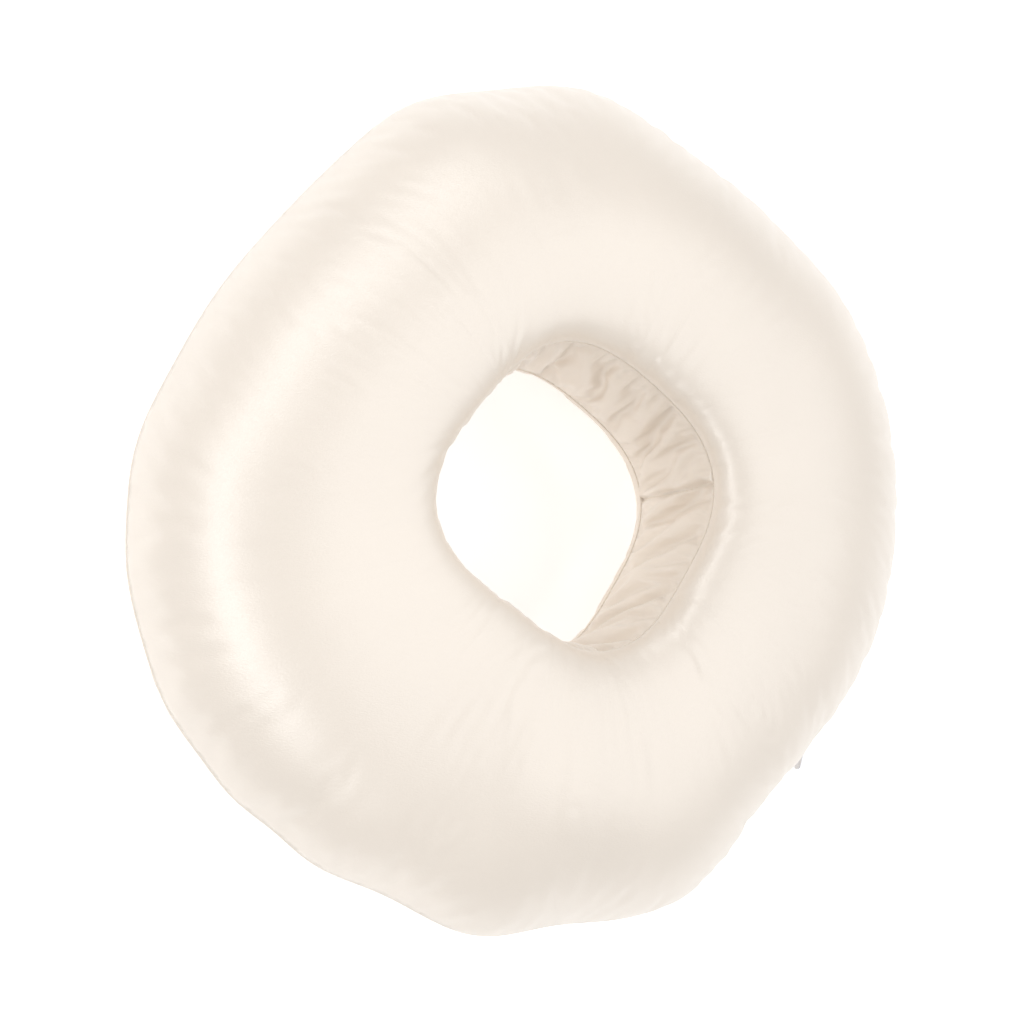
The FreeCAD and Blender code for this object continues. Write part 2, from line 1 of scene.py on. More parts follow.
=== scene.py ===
"""A satin ring cushion: its cloth, sewing, zip and filling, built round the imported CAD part.

The cover is four cloths. Each is cut a little longer than its seams, held at its sewn edges and
inflated by the filling, so that the spare cloth gathers into puckers along the sewing.
"""

import json
import math

import bpy
import numpy as np
from mathutils import Matrix, Vector


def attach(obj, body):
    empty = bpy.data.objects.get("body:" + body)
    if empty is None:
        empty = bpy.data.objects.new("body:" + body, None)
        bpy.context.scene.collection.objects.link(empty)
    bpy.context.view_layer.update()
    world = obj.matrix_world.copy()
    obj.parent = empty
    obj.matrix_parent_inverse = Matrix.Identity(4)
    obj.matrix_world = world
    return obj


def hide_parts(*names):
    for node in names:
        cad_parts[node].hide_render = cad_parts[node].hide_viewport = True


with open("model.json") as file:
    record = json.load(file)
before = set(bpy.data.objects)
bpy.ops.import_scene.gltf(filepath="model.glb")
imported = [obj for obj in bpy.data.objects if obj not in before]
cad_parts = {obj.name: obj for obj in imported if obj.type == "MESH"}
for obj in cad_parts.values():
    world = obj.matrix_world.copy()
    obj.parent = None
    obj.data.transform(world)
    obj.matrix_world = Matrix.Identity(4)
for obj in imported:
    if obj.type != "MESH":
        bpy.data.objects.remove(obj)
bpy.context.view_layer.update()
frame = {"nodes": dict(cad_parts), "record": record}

MM = 0.001
TURN = 2 * math.pi

# ---------------------------------------------------------------- the ring's shape, in metres

RING_AXIS = np.array([0.002963, -0.001388])
SEAM_HEIGHT = 0.042
SEAM_MEAN = 0.165
SEAM_LOBES = ((2, 0.041, 34.5), (3, 0.010, 74.0), (4, 0.025, -7.0))
HOLE_MEAN = 0.0576
HOLE_LOBES = ((2, 0.012, 10.0), (3, 0.021, 45.0), (4, 0.055, -6.0))
RIM = 0.029
CREST = 0.045
CREST_SHARE = 0.33
SHOULDER_SHARE = 0.63
EDGE_LEAN = 0.05
EDGE_RISE = 0.48

ZIP_CENTRE = np.array([0.0185, 0.0060])
ZIP_RADIUS = 0.148
ZIP_CLOSED_AT = -61.0
ZIP_TRAVEL = 73.5
ZIP_MARGIN = 7.0
ZIP_BLEND = 16.0
ZIP_BELLY = 0.009
MOUTH_MARGIN = 4.0
MOUTH_BLEND = 4.5

CLOTH = 0.0005
JOIN_AT = -8.0
STITCH_PITCH = 0.0023
COLUMNS = 480

# Where the outline stands out or falls in: direction in degrees, outward in mm, half width in degrees.
OUTLINE_DENTS = (
    (49, -2.0, 9), (68, 2.4, 9), (82, -1.6, 7), (97, 2.2, 8), (136, 2.0, 14), (160, 2.8, 9),
    (176, 1.6, 8), (193, 2.6, 8), (206, 2.6, 6), (219, 2.4, 6), (230, -0.8, 5),
    (243, 3.2, 7), (256, -2.5, 7), (275, 4.0, 9), (293, 2.0, 6), (306, -2.2, 5), (313, -1.9, 9),
)


def swell(turn, lobes):
    return 1 + sum(share * np.cos(count * (turn - math.radians(at))) for count, share, at in lobes)


def smooth(value):
    value = np.clip(value, 0, 1)
    return value * value * (3 - 2 * value)


def zip_line(turn):
    """Distance from the ring's axis to the zip's arc, in each direction."""
    along = ZIP_CENTRE[0] * np.cos(turn) + ZIP_CENTRE[1] * np.sin(turn)
    across = ZIP_CENTRE[0] * np.sin(turn) - ZIP_CENTRE[1] * np.cos(turn)
    return along + np.sqrt(ZIP_RADIUS ** 2 - across ** 2)


def ring_direction(zip_degrees):
    """Direction from the ring's axis, in degrees, of a point on the zip's arc."""
    turn = math.radians(zip_degrees)
    x = ZIP_CENTRE[0] + ZIP_RADIUS * math.cos(turn)
    y = ZIP_CENTRE[1] + ZIP_RADIUS * math.sin(turn)
    return math.degrees(math.atan2(y, x))


def zip_share(turn, margin=ZIP_MARGIN, blend=ZIP_BLEND):
    """1 over the zip and its margins, fading to 0 on each side."""
    first = ring_direction(ZIP_CLOSED_AT - margin)
    last = ring_direction(ZIP_CLOSED_AT + ZIP_TRAVEL + margin)
    middle, half = (first + last) / 2, (last - first) / 2
    away = np.abs((np.degrees(turn) - middle + 180) % 360 - 180) - half
    return 1 - smooth(away / blend)


def dents(turn):
    """Unevenness of the outline, in metres outward."""
    total = np.zeros_like(turn)
    for at, outward, width in OUTLINE_DENTS:
        away = (np.degrees(turn) - at + 180) % 360 - 180
        total += outward * MM * np.exp(-(away / width) ** 2)
    return total


def seam_radius(turn):
    free = SEAM_MEAN * swell(turn, SEAM_LOBES)
    share = zip_share(turn)
    return free + share * (zip_line(turn) - free) + dents(turn) * (1 - share)


def hole_radius(turn):
    return HOLE_MEAN * swell(turn, HOLE_LOBES)


def bezier(points, steps):
    """Cubic through four control points, each an (r, z) pair of arrays over the columns."""
    u = np.linspace(0, 1, steps)[:, None]
    weights = ((1 - u) ** 3, 3 * u * (1 - u) ** 2, 3 * u * u * (1 - u), u ** 3)
    return tuple(sum(w * p[axis] for w, p in zip(weights, points)) for axis in (0, 1))


def placed(radius, height, turn):
    """Points from radii and heights above the seam's plane, over the columns' directions."""
    x = RING_AXIS[0] + radius * np.cos(turn)
    y = RING_AXIS[1] + radius * np.sin(turn)
    return np.stack([x, y, SEAM_HEIGHT + height + 0 * x], axis=-1)


def by_arc(radius, height, shares):
    """Take rows along a meridian at the given shares of its length."""
    length = np.zeros_like(radius)
    length[1:] = np.cumsum(np.hypot(np.diff(radius, axis=0), np.diff(height, axis=0)), axis=0)
    out_r = np.empty((len(shares), radius.shape[1]))
    out_z = np.empty_like(out_r)
    for column in range(radius.shape[1]):
        want = shares * length[-1, column]
        out_r[:, column] = np.interp(want, length[:, column], radius[:, column])
        out_z[:, column] = np.interp(want, length[:, column], height[:, column])
    return out_r, out_z


COLUMN_TURNS = np.arange(COLUMNS) * TURN / COLUMNS
SEAM = seam_radius(COLUMN_TURNS)
HOLE = hole_radius(COLUMN_TURNS)
ZIPPED = zip_share(COLUMN_TURNS)
PARTED = zip_share(COLUMN_TURNS, MOUTH_MARGIN, MOUTH_BLEND)


def panel_meridian(rows, crest):
    """Rows of one panel from just above the outer seam, over the crest, to just above the rim."""
    width = SEAM - HOLE
    start = SEAM - 0.0005 + 0.0004 * PARTED
    foot = 0.0012 + 0.0012 * PARTED
    belly = SEAM - EDGE_LEAN * width + ZIPPED * (ZIP_BELLY + dents(COLUMN_TURNS) * 2)
    level = np.full(COLUMNS, crest)
    outer = bezier([(start, foot), (belly, EDGE_RISE * level),
                    (HOLE + SHOULDER_SHARE * width, level), (HOLE + CREST_SHARE * width, level)], 120)
    rim = np.full(COLUMNS, RIM + 0.0008)
    inner = bezier([(HOLE + CREST_SHARE * width, level), (HOLE + 0.36 * CREST_SHARE * width, level),
                    (HOLE, (2 * level + rim) / 3), (HOLE, rim)], 80)
    radius = np.vstack([outer[0], inner[0][1:]])
    height = np.vstack([outer[1], inner[1][1:]])
    return by_arc(radius, height, np.linspace(0, 1, rows))


# ---------------------------------------------------------------- cloth

def soft_noise(rows, columns, across, around, seed):
    """Smooth random field of unit spread that closes on itself round the ring."""
    field = np.random.default_rng(seed).normal(size=(2 * rows, columns))
    down = np.fft.fftfreq(2 * rows)[:, None] * 2 * rows / across
    along = np.fft.fftfreq(columns)[None] * columns / around
    field = np.real(np.fft.ifft2(np.fft.fft2(field) * np.exp(-down ** 2 - along ** 2)))[:rows]
    return (field - field.mean()) / field.std()


def normals(grid):
    down = np.gradient(grid, axis=0)
    along = np.roll(grid, -1, axis=1) - np.roll(grid, 1, axis=1)
    found = np.cross(along, down)
    return found / np.linalg.norm(found, axis=-1, keepdims=True)


def grid_faces(rows, columns):
    index = np.arange(rows * columns).reshape(rows, columns)
    near, far = index[:-1], index[1:]
    return np.stack([near, np.roll(near, -1, 1), np.roll(far, -1, 1), far], -1).reshape(-1, 4)


def cut_shape(target, excess, slack, twist):
    """The cloth before sewing: each row longer by its excess, with the same length between rows.

    A twist shifts one sewn edge round the ring against the other, by that angle."""
    centre = np.array([*RING_AXIS, 0])
    flat = target - centre
    radius = np.hypot(flat[..., 0], flat[..., 1])
    step = np.linalg.norm(np.diff(flat, axis=0), axis=-1) * (1 + slack)
    wide = radius * (1 + excess[:, None])
    drop = np.sqrt(np.maximum(step ** 2 - np.diff(wide, axis=0) ** 2, (0.1 * step) ** 2))
    sign = np.where(np.diff(flat[..., 2], axis=0) < 0, -1, 1)
    height = flat[:1, :, 2] + np.vstack([np.zeros(flat.shape[1]), np.cumsum(sign * drop, axis=0)])
    turn = np.arctan2(flat[..., 1], flat[..., 0]) + twist * np.linspace(-0.5, 0.5, len(flat))[:, None]
    return np.stack([wide * np.cos(turn), wide * np.sin(turn), height], -1) + centre


def sewn(name, target, excess, slack=0.0, twist=0.0, hold=0.3, pressure=300, bending=8, most=0.006, seed=1):
    """Simulate a cloth that is sewn down at its first and last rows and backed by the filling."""
    rows, columns = target.shape[:2]
    start = cut_shape(target, excess, slack, twist)
    fade = np.sin(math.pi * np.linspace(0, 1, rows))[:, None, None]
    start = start + normals(target) * fade * 0.0003 * soft_noise(rows, columns, 6, 70, seed)[..., None]
    mesh = bpy.data.meshes.new(name + "_cut")
    mesh.from_pydata(start.reshape(-1, 3).tolist(), [], grid_faces(rows, columns).tolist())
    piece = bpy.data.objects.new(name + "_cut", mesh)
    bpy.context.scene.collection.objects.link(piece)
    piece.shape_key_add(name="cut")
    key = piece.shape_key_add(name="sewn")
    key.data.foreach_set("co", target.astype(np.float32).ravel())
    key.value = 0
    key.keyframe_insert("value", frame=1)
    key.value = 1
    key.keyframe_insert("value", frame=8)
    group = piece.vertex_groups.new(name="held")
    index = np.arange(rows * columns).reshape(rows, columns)
    group.add(index[[0, -1]].ravel().tolist(), 1.0, "REPLACE")
    for row, weight in zip(index[1:-1], np.broadcast_to(hold, rows)[1:-1]):
        group.add(row.tolist(), float(weight), "REPLACE")
    cloth = piece.modifiers.new("cloth", "CLOTH")
    cloth.collision_settings.use_collision = False
    cloth.collision_settings.use_self_collision = False
    settings = cloth.settings
    settings.quality = 5
    settings.mass = 0.02
    settings.tension_stiffness = 30
    settings.compression_stiffness = 30
    settings.shear_stiffness = 10
    settings.bending_stiffness = bending
    settings.vertex_group_mass = "held"
    settings.pin_stiffness = 1.0
    settings.use_pressure = True
    settings.uniform_pressure_force = pressure
    settings.effector_weights.gravity = 0
    for step in range(1, 21):
        bpy.context.scene.frame_set(step)
    shown = piece.evaluated_get(bpy.context.evaluated_depsgraph_get())
    result = np.empty(rows * columns * 3, np.float32)
    shown.to_mesh().vertices.foreach_get("co", result)
    shown.to_mesh_clear()
    moved = result.reshape(target.shape).astype(float) - target
    bpy.data.objects.remove(piece)
    bpy.data.meshes.remove(mesh)
    bpy.context.scene.frame_set(1)
    moved = np.nan_to_num(moved)
    far = np.linalg.norm(moved, axis=-1, keepdims=True)
    moved *= np.minimum(1, most / np.maximum(far, 1e-9))
    inner = moved.copy()
    inner[1:-1] = (moved[:-2] + moved[2:] + 4 * moved[1:-1]) / 6
    inner = (np.roll(inner, 1, 1) + np.roll(inner, -1, 1) + 4 * inner) / 6
    return target + inner


def new_object(name, points, faces, material, body="cushion", shade=True):
    mesh = bpy.data.meshes.new(name)
    corners = np.asarray(points, float).reshape(-1, 3).tolist()
    mesh.from_pydata(corners, [], [list(map(int, face)) for face in faces])
    mesh.materials.append(material)
    mesh.polygons.foreach_set("use_smooth", [shade] * len(mesh.polygons))
    mesh.update()
    piece = bpy.data.objects.new(name, mesh)
    bpy.context.scene.collection.objects.link(piece)
    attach(piece, body)
    return piece


def shell(name, grid, thickness, material):
    """A closed cloth of even thickness whose outer face is the grid, a ring of rows."""
    rows, columns = grid.shape[:2]
    inner = grid - normals(grid) * thickness
    faces = grid_faces(rows, columns)
    count = rows * columns
    index = np.arange(count).reshape(rows, columns)
    strips = []
    for row, flip in ((0, False), (rows - 1, True)):
        edge = index[row]
        strip = np.stack([edge, edge + count, np.roll(edge, -1) + count, np.roll(edge, -1)], -1)
        strips.append(strip[:, ::-1] if flip else strip)
    every = np.vstack([faces, faces[:, ::-1] + count, *strips])
    corners = np.concatenate([grid.reshape(-1, 3), inner.reshape(-1, 3)])
    return new_object(name, corners, every, material)


# ---------------------------------------------------------------- materials

def satin_like(name, colour, roughness, grain=0.0, variation=0.02, metallic=0.0, **sockets):
    """A procedural material: fine grain, slight change of tone, and constant values on the shader."""
    material = bpy.data.materials.new(name)
    material.use_nodes = True
    nodes, links = material.node_tree.nodes, material.node_tree.links
    shader = nodes["Principled BSDF"]
    place = nodes.new("ShaderNodeTexCoord")
    tone = nodes.new("ShaderNodeTexNoise")
    tone.inputs["Scale"].default_value = 14
    tone.inputs["Detail"].default_value = 3
    links.new(place.outputs["Object"], tone.inputs["Vector"])
    ramp = nodes.new("ShaderNodeValToRGB")
    ramp.color_ramp.elements[0].position = 0.3
    ramp.color_ramp.elements[1].position = 0.7
    ramp.color_ramp.elements[0].color = (*[c * (1 - variation) for c in colour], 1)
    ramp.color_ramp.elements[1].color = (*[min(1, c * (1 + variation)) for c in colour], 1)
    links.new(tone.outputs["Fac"], ramp.inputs["Fac"])
    links.new(ramp.outputs["Color"], shader.inputs["Base Color"])
    if grain:
        stretch = nodes.new("ShaderNodeMapping")
        stretch.inputs["Scale"].default_value = (1, 3.5, 1)
        links.new(place.outputs["Object"], stretch.inputs["Vector"])
        thread = nodes.new("ShaderNodeTexNoise")
        thread.inputs["Scale"].default_value = 900
        thread.inputs["Detail"].default_value = 2
        links.new(stretch.outputs["Vector"], thread.inputs["Vector"])
        bump = nodes.new("ShaderNodeBump")
        bump.inputs["Strength"].default_value = grain
        bump.inputs["Distance"].default_value = 0.0003
        links.new(thread.outputs["Fac"], bump.inputs["Height"])
        links.new(bump.outputs["Normal"], shader.inputs["Normal"])
    shader.inputs["Roughness"].default_value = roughness
    shader.inputs["Metallic"].default_value = metallic
    for socket, value in sockets.items():
        shader.inputs[socket.replace("_", " ")].default_value = value
    return material


SATIN = satin_like("satin", (0.84, 0.758, 0.668), 0.35, grain=0.3, IOR=1.8, Specular_IOR_Level=0.8,
                   Anisotropic=0.4, Sheen_Weight=0.1, Sheen_Roughness=0.4)
THREAD = satin_like("sewing_thread", (0.85, 0.77, 0.67), 0.5, grain=0.3)
TAPE = satin_like("zip_tape_weave", (0.84, 0.79, 0.71), 0.7, grain=0.6)
NYLON = satin_like("nylon_coil", (0.86, 0.82, 0.75), 0.35)
NICKEL = satin_like("nickel_plate", (0.70, 0.71, 0.74), 0.28, grain=0.1, metallic=1.0)
COTTON = satin_like("casing_cotton", (0.88, 0.87, 0.84), 0.85, grain=0.6)
FIBRE = satin_like("hollow_fibre", (0.92, 0.92, 0.90), 0.9, grain=1.0)
CAD_FINISH = {"satin": SATIN, "thread": THREAD, "zip_tape": TAPE, "zip_coil": NYLON, "zip_metal": NICKEL,
              "casing_cloth": COTTON, "fibre": FIBRE}
SLOT_OF = {part["node"]: part["material_slot"] for part in frame["record"]["subparts"]}
for node, piece in frame["nodes"].items():
    piece.data.materials.clear()
    piece.data.materials.append(CAD_FINISH[SLOT_OF[node]])

# ---------------------------------------------------------------- the cover

# Lip rows, from inside the seam out to the panel's sewn row: inward and height, in mm, for a sewn
# stretch and for the zip's stretch.
SEAM_LIP = (
    (-3.6, 0.30, -1.9, 1.15),
    (-2.2, 0.30, -1.5, 1.12),
    (-1.3, 0.38, -0.9, 1.18),
    (-0.8, 0.70, -0.35, 1.55),
)
# Lip rows beyond the rim's sewn row: outward from the hole and height above the rim, in mm.
RIM_LIP = ((0.12, 0.42), (0.45, 0.16), (1.1, 0.10), (2.2, 0.10))
# Lip rows of the hole's wall: outward from the hole and depth below the rim, in mm.
WALL_LIP = ((2.0, 0.10), (1.0, 0.10), (0.4, 0.20), (0.1, 0.45))


def seam_lip():
    radii = [SEAM + MM * (sewn_in * (1 - PARTED) + zip_in * PARTED) for sewn_in, _, zip_in, _ in SEAM_LIP]
    heights = [MM * (sewn_up * (1 - PARTED) + zip_up * PARTED) for _, sewn_up, _, zip_up in SEAM_LIP]
    return placed(np.array(radii), np.array(heights), COLUMN_TURNS)


def rim_lip():
    radii = [HOLE + MM * out for out, _ in RIM_LIP]
    heights = [np.full(COLUMNS, RIM + MM * up) for _, up in RIM_LIP]
    return placed(np.array(radii), np.array(heights), COLUMN_TURNS)


def mirrored(grid):
    """The same rows below the seam's plane, in the order that keeps the outer face outward."""
    turned = grid[::-1].copy()
    turned[..., 2] = 2 * SEAM_HEIGHT - turned[..., 2]
    return turned


def uneven(grid, amount, across, around, seed):
    """Low lumps of the filling, fading out at the sewn rows."""
    rows, columns = grid.shape[:2]
    fade = np.sin(math.pi * np.linspace(0, 1, rows))[:, None] ** 0.7
    lumps = soft_noise(rows, columns, across, around, seed) * fade * amount
    return grid + normals(grid) * lumps[..., None]


def panel_hold(rows):
    """How hard the filling backs each row: loosest next to the outer seam."""
    return np.interp(np.linspace(0, 1, rows), (0, 0.12, 0.35, 1), (0.25, 0.27, 0.35, 0.35))


def panel_excess(rows, at_seam, at_rim):
    share = np.linspace(0, 1, rows)
    return (at_seam * np.clip(1 - share / 0.4, 0, 1) ** 1.5
            + at_rim * np.clip((share - 0.75) / 0.25, 0, 1) ** 1.5)


def front_panel():
    rows = 64
    target = uneven(placed(*panel_meridian(rows, CREST), COLUMN_TURNS), 0.0009, 2.2, 7, 5)
    panel = sewn("front_panel", target, panel_excess(rows, 0.03, 0.015), hold=panel_hold(rows), bending=20)
    return np.concatenate([seam_lip(), panel, rim_lip()])


def back_panel():
    rows = 48
    target = uneven(placed(*panel_meridian(rows, CREST), COLUMN_TURNS), 0.0009, 2.2, 7, 8)
    panel = sewn("back_panel", target, panel_excess(rows, 0.03, 0.015), hold=panel_hold(rows), bending=20)
    grid = mirrored(np.concatenate([seam_lip(), panel, rim_lip()]))
    depth = grid[..., 2]
    soft = 0.0015
    flat = np.where(depth < soft, np.maximum(0, soft * np.exp((depth - soft) / soft) * 0.4), depth)
    grid[..., 2] = np.where(depth < soft, np.minimum(flat, soft), depth)
    return grid


def gusset():
    """The wall of the hole, gathered into slanting pleats between the two rims."""
    rows = 30
    share = np.linspace(0, 1, rows)[:, None]
    height = (RIM - 0.0008) * (1 - 2 * share) + np.zeros(COLUMNS)
    bulge = 0.0015 * np.sin(math.pi * share)
    radius = HOLE - bulge
    target = placed(radius, height, COLUMN_TURNS)
    wall = sewn("hole_gusset", target, np.full(rows, 0.2), slack=0.03, twist=0.07, hold=0.12, pressure=120,
                bending=40, seed=4)
    radii = np.array([HOLE + MM * out for out, _ in WALL_LIP])
    heights = np.array([np.full(COLUMNS, RIM - MM * down) for _, down in WALL_LIP])
    top = placed(radii, heights, COLUMN_TURNS)
    bottom = top[::-1].copy()
    bottom[..., 2] = 2 * SEAM_HEIGHT - bottom[..., 2]
    return np.concatenate([top, wall, bottom])


def joined(grid):
    """Turn the wall's two ends in along the join, with a roll of cloth that laps over it."""
    away = (np.degrees(COLUMN_TURNS) - JOIN_AT + 180) % 360 - 180
    beside = np.radians(away) * HOLE
    rows = grid.shape[0]
    lean = np.linspace(-0.0012, 0.0012, rows)[:, None] + 0.0008 * np.sin(np.linspace(0, 5, rows))[:, None]
    fade = np.sin(math.pi * np.linspace(0.06, 0.94, rows))[:, None] ** 0.3
    turned = 0.0021 * np.exp(-((beside - lean) / 0.0009) ** 2)
    roll = 0.0014 * np.exp(-((beside - lean - 0.0027) / 0.0021) ** 2)
    outward = np.stack([np.cos(COLUMN_TURNS), np.sin(COLUMN_TURNS), np.zeros(COLUMNS)], -1)
    return grid + (fade * (turned - roll))[..., None] * outward


front = front_panel()
back = back_panel()
wall = joined(gusset())
FRONT = shell("front_cover", front, CLOTH, SATIN)
BACK = shell("back_cover", back, CLOTH, SATIN)
WALL = shell("hole_wall", wall, CLOTH, SATIN)
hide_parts("front_panel")
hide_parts("back_panel")
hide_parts("hole_gusset")

# ---------------------------------------------------------------- sewing

def stitches(name, path, replaced, closed=False, length=0.0017, radius=0.00028):
    """A row of separate stitches along a path of points, each a small rounded bar."""
    if closed:
        path = np.vstack([path, path[:1]])
    run = np.concatenate([[0], np.cumsum(np.linalg.norm(np.diff(path, axis=0), axis=1))])
    count = int(run[-1] / STITCH_PITCH)
    centres = (np.arange(count) + 0.5) * run[-1] / count
    at = np.stack([np.interp(centres, run, path[:, k]) for k in range(3)], -1)
    ahead = np.stack([np.interp(centres + length / 2, run, path[:, k]) for k in range(3)], -1)
    along = ahead - at
    along /= np.maximum(np.linalg.norm(along, axis=1, keepdims=True), 1e-9)
    aside = np.cross(along, [0.31, 0.17, 0.93])
    aside /= np.linalg.norm(aside, axis=1, keepdims=True)
    across = np.cross(along, aside)
    sides = 6
    rings = ((-0.82, 0.62), (-0.4, 1.0), (0.4, 1.0), (0.82, 0.62))
    turns = np.arange(sides) * TURN / sides
    points = [at - along * length / 2]
    for place, girth in rings:
        for turn in turns:
            spoke = aside * math.cos(turn) + across * math.sin(turn)
            points.append(at + along * place * length / 2 + spoke * radius * girth)
    points.append(at + along * length / 2)
    points = np.stack(points, 1)
    faces = []
    last = 1 + len(rings) * sides
    for side in range(sides):
        following = (side + 1) % sides
        faces.append((0, 1 + following, 1 + side))
        for ring in range(len(rings) - 1):
            a, b = 1 + ring * sides, 1 + (ring + 1) * sides
            faces.append((a + side, a + following, b + following, b + side))
        faces.append((last, last - sides + side, last - sides + following))
    every = [tuple(index + stitch * points.shape[1] for index in face)
             for stitch in range(count) for face in faces]
    piece = new_object(name, points.reshape(-1, 3), every, THREAD)
    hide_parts(*replaced)
    return piece


def round_path(radius, height):
    return placed(radius[None], np.full((1, COLUMNS), height), COLUMN_TURNS)[0]


parted_columns = np.flatnonzero(PARTED > 0.3)
first_sewn = parted_columns[parted_columns < COLUMNS // 2].max() + 1
sewn_columns = np.roll(np.arange(COLUMNS), -first_sewn)
sewn_columns = sewn_columns[PARTED[sewn_columns] <= 0.3]
stitches("outer_seam_stitches", round_path(SEAM - 0.0008, 0)[sewn_columns], ["outer_seam_thread"],
         radius=0.00026)
stitches("front_rim_stitches", round_path(HOLE + 0.0001, RIM + 0.0001), ["front_rim_thread"], closed=True)
stitches("back_rim_stitches", round_path(HOLE + 0.0001, -RIM - 0.0001), ["back_rim_thread"], closed=True)
join_column = int(round(JOIN_AT / 360 * COLUMNS)) % COLUMNS
join_turn = math.radians(JOIN_AT)
join_path = wall[5:-5, join_column] - np.array([math.cos(join_turn), math.sin(join_turn), 0]) * 0.0001
stitches("gusset_join_stitches", join_path, ["gusset_join_thread"])

# ---------------------------------------------------------------- insert

SEAM_ROOM = 0.012
INSERT_ROOM = 0.0036
CASING = 0.0004
END_AT = 180.0
END_GAP = 0.002


def insert_tube(depth, columns):
    """The filling's tube, which stops short of itself on one side of the ring."""
    reach = (END_GAP / 2 + depth) / 0.11
    turn = math.radians(END_AT) + np.linspace(reach, TURN - reach, columns)
    free = SEAM_MEAN * swell(turn, SEAM_LOBES)
    outside = free + zip_share(turn) * (zip_line(turn) - free) - SEAM_ROOM - depth
    hole = hole_radius(turn) + INSERT_ROOM + depth
    width = outside - hole
    top = np.full(columns, CREST - INSERT_ROOM - depth)
    rim = np.full(columns, RIM - INSERT_ROOM - depth)
    outer = bezier([(outside, 0 * top), (outside, EDGE_RISE * top), (hole + SHOULDER_SHARE * width, top),
                    (hole + CREST_SHARE * width, top)], 16)
    inner = bezier([(hole + CREST_SHARE * width, top), (hole + 0.36 * CREST_SHARE * width, top),
                    (hole, (2 * top + rim) / 3), (hole, rim)], 8)
    radius = np.vstack([outer[0], inner[0][1:], inner[0][::-1], outer[0][-2:0:-1]])
    lowest = INSERT_ROOM + depth - SEAM_HEIGHT
    under = np.maximum(-np.vstack([inner[1][::-1], outer[1][-2:0:-1]]), lowest)
    return placed(radius, np.vstack([outer[1], inner[1][1:], under]), turn)


def tube_faces(rows, columns):
    index = np.arange(rows * columns).reshape(rows, columns)
    near, far = index[:, :-1], index[:, 1:]
    sides = np.stack([near, far, np.roll(far, -1, 0), np.roll(near, -1, 0)], -1).reshape(-1, 4)
    return [tuple(face) for face in sides], tuple(index[:, 0]), tuple(index[::-1, -1])


def insert():
    columns = 240
    outside = insert_tube(0, columns)
    lining = insert_tube(CASING, columns)
    filling = insert_tube(2 * CASING, columns)
    rows = outside.shape[0]
    faces, first, last = tube_faces(rows, columns)
    count = rows * columns
    inner = [tuple(index + count for index in reversed(face)) for face in (*faces, first, last)]
    casing = new_object("casing_bag", np.concatenate([outside.reshape(-1, 3), lining.reshape(-1, 3)]),
                        [*faces, first, last, *inner], COTTON)
    fibre = new_object("fibre_filling", filling, [*faces, first, last], FIBRE)
    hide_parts("insert_casing")
    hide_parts("insert_fill")
    stitches("casing_seam_stitches", outside[0], ["insert_seam_thread"])
    crest = 15
    ends = np.concatenate([outside[:crest, 0][::-1], outside[:crest, -1]])
    stitches("casing_end_stitches", ends, ["insert_end_threads"])

insert()

# ---------------------------------------------------------------- zip

TAPE_CLOTH = 0.0003
# The tape's section: outward from the zip's line and height, in mm, from the coiled edge to the free edge.
TAPE_FACE = (
    (-7.2, 1.15), (-5.0, 1.15), (-3.2, 1.15), (-2.5, 1.2),
    (-2.25, 1.55), (-2.6, 2.6), (-4.0, 6.4), (-6.0, 10.9),
)
COIL_DEPTH = 0.0064
COIL_SIDE = 0.00235
COIL_RADIUS = 0.00085
COIL_WIRE = 0.00019
COIL_PITCH = 0.0012


def on_zip(turn, outward, height):
    """Points beside the zip's line, at turns about the zip's own axis."""
    radius = ZIP_RADIUS + outward
    x = RING_AXIS[0] + ZIP_CENTRE[0] + radius * np.cos(turn)
    y = RING_AXIS[1] + ZIP_CENTRE[1] + radius * np.sin(turn)
    return np.stack([x, y, SEAM_HEIGHT + height + 0 * x], -1)


def tape(name, side, replaced):
    columns = 240
    first = math.radians(ZIP_CLOSED_AT - 5)
    turn = np.linspace(first, first + math.radians(ZIP_TRAVEL + 10), columns)
    face = np.array(TAPE_FACE) * MM
    step = np.gradient(face, axis=0)
    step /= np.linalg.norm(step, axis=1, keepdims=True)
    behind = face + np.stack([-step[:, 1], step[:, 0]], -1) * -TAPE_CLOTH
    section = np.concatenate([face, behind[::-1]])
    grid = np.stack([on_zip(turn, out, side * up) for out, up in section])
    faces, start, end = tube_faces(len(section), columns)
    every = [*faces, start, end]
    if side > 0:
        every = [face[::-1] for face in every]
    piece = new_object(name, grid, every, TAPE, shade=False)
    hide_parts(replaced)


def coil(name, side, replaced):
    """One side's nylon coil, wound round and round along the tape's edge."""
    span = math.radians(ZIP_TRAVEL + 4.4)
    first = math.radians(ZIP_CLOSED_AT - 2.2)
    winds = int(span * ZIP_RADIUS / COIL_PITCH)
    per_wind, wire_sides = 10, 5
    count = winds * per_wind
    share = np.linspace(0, 1, count)
    wind = share * winds * TURN
    reach = COIL_RADIUS - COIL_WIRE
    turn = first + share * span
    out = -COIL_DEPTH + reach * np.cos(wind)
    up = side * (COIL_SIDE + reach * np.sin(wind))
    path = on_zip(turn, out, up)
    ahead = np.gradient(path, axis=0)
    ahead /= np.linalg.norm(ahead, axis=1, keepdims=True)
    spoke = path - on_zip(turn, -COIL_DEPTH, side * COIL_SIDE)
    spoke /= np.linalg.norm(spoke, axis=1, keepdims=True)
    other = np.cross(ahead, spoke)
    rows = [path + COIL_WIRE * (spoke * math.cos(a) + other * math.sin(a))
            for a in np.arange(wire_sides) * TURN / wire_sides]
    faces, start, end = tube_faces(wire_sides, count)
    piece = new_object(name, np.stack(rows), [*faces, start, end], NYLON)
    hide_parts(replaced)


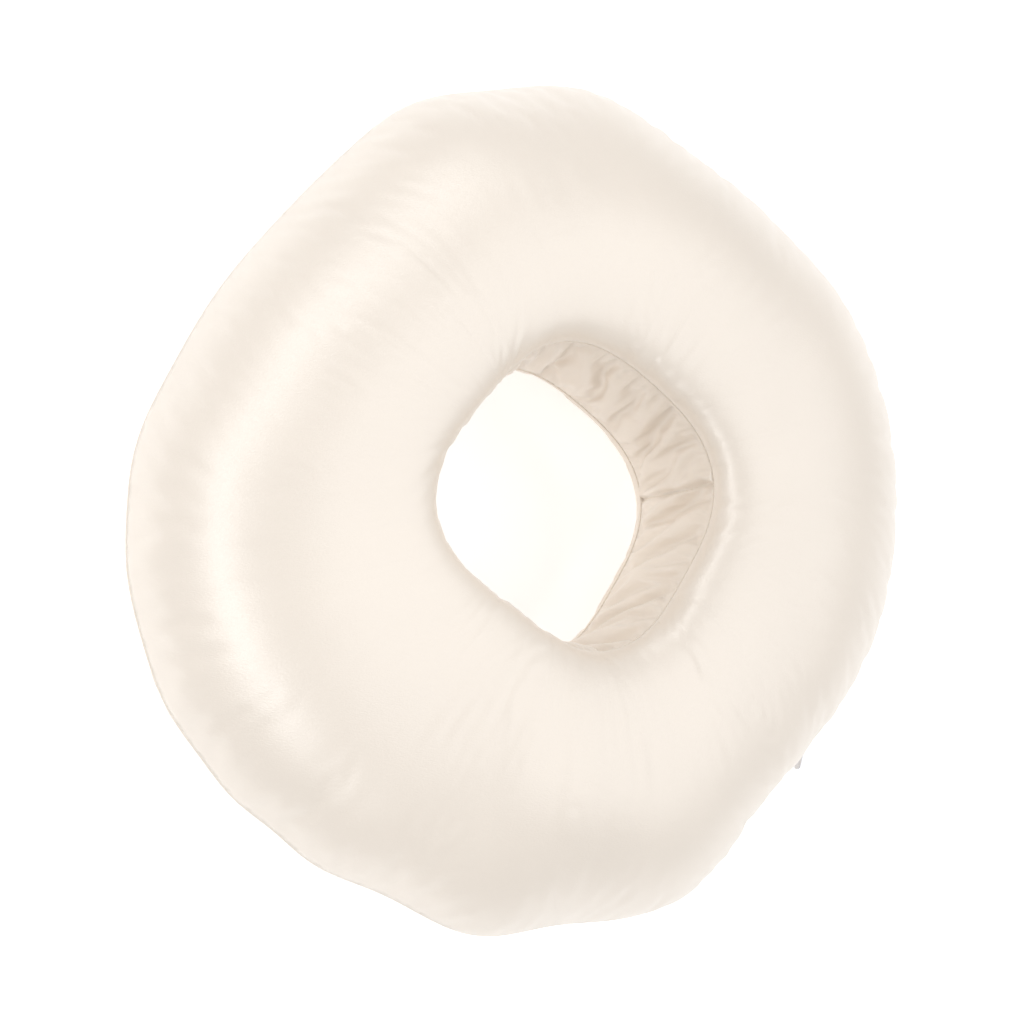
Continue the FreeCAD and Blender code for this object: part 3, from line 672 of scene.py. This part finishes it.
tape("zip_tape_front_weave", 1, "zip_tape_front")
tape("zip_tape_back_weave", -1, "zip_tape_back")
coil("zip_coil_front_winding", 1, "zip_coil_front")
coil("zip_coil_back_winding", -1, "zip_coil_back")

# ---------------------------------------------------------------- camera, light and floor

CAMERA_BACK = Vector((-0.4545, 0.0, 0.89075)).normalized()
CAMERA_RIGHT = Vector((0.86354, -0.24528, 0.44062)).normalized()
CAMERA_UP = CAMERA_BACK.cross(CAMERA_RIGHT).normalized()
CAMERA_AWAY = 0.8019
RING_CENTRE = Vector((*RING_AXIS, SEAM_HEIGHT))


def add_camera():
    data = bpy.data.cameras.new("camera")
    data.lens = 70.83
    data.sensor_width = 36
    camera = bpy.data.objects.new("camera", data)
    aim = RING_CENTRE - 0.0138 * CAMERA_RIGHT - 0.0034 * CAMERA_UP
    turned = Matrix((CAMERA_RIGHT, CAMERA_UP, CAMERA_BACK)).transposed().to_4x4()
    camera.matrix_world = Matrix.Translation(aim + CAMERA_BACK * CAMERA_AWAY) @ turned
    bpy.context.scene.collection.objects.link(camera)
    bpy.context.scene.camera = camera


def add_light(name, azimuth, elevation, distance, width, height, power):
    data = bpy.data.lights.new(name, "AREA")
    data.shape = "RECTANGLE"
    data.size = width
    data.size_y = height
    data.energy = power
    light = bpy.data.objects.new(name, data)
    a, e = math.radians(azimuth), math.radians(elevation)
    direction = Vector((math.cos(a) * math.cos(e), math.sin(a) * math.cos(e), math.sin(e)))
    light.location = RING_CENTRE + direction * distance
    light.rotation_mode = "QUATERNION"
    light.rotation_quaternion = direction.to_track_quat("Z", "Y")
    bpy.context.scene.collection.objects.link(light)


def add_floor():
    mesh = bpy.data.meshes.new("floor")
    half = 40.0
    corners = [(-half, -half, 0), (half, -half, 0), (half, half, 0), (-half, half, 0)]
    mesh.from_pydata(corners, [], [(0, 1, 2, 3)])
    material = bpy.data.materials.new("floor_paper")
    material.use_nodes = True
    shader = material.node_tree.nodes["Principled BSDF"]
    shader.inputs["Base Color"].default_value = (0.9, 0.9, 0.9, 1)
    shader.inputs["Roughness"].default_value = 0.9
    shader.inputs["Emission Color"].default_value = (1, 1, 1, 1)
    shader.inputs["Emission Strength"].default_value = 0.38
    mesh.materials.append(material)
    floor = bpy.data.objects.new("floor", mesh)
    floor.location = (0, 0, -0.0002)
    bpy.context.scene.collection.objects.link(floor)


def add_world(strength):
    world = bpy.data.worlds.new("studio")
    world.use_nodes = True
    background = world.node_tree.nodes["Background"]
    background.inputs["Color"].default_value = (1, 1, 1, 1)
    background.inputs["Strength"].default_value = strength
    bpy.context.scene.world = world


add_camera()
add_floor()
add_world(0.51)
add_light("main_softbox", -20, 58, 2.2, 3.2, 3.2, 30)
add_light("strip_lower_left", 206, 40, 1.0, 0.5, 0.04, 1.05)
add_light("strip_left", 168, 40, 1.0, 0.6, 0.04, 1.1)
add_light("strip_upper_left", 128, 40, 1.0, 0.6, 0.04, 1.1)
add_light("strip_top", 90, 36, 1.0, 0.5, 0.04, 0.9)
bpy.context.scene.view_settings.view_transform = "Standard"
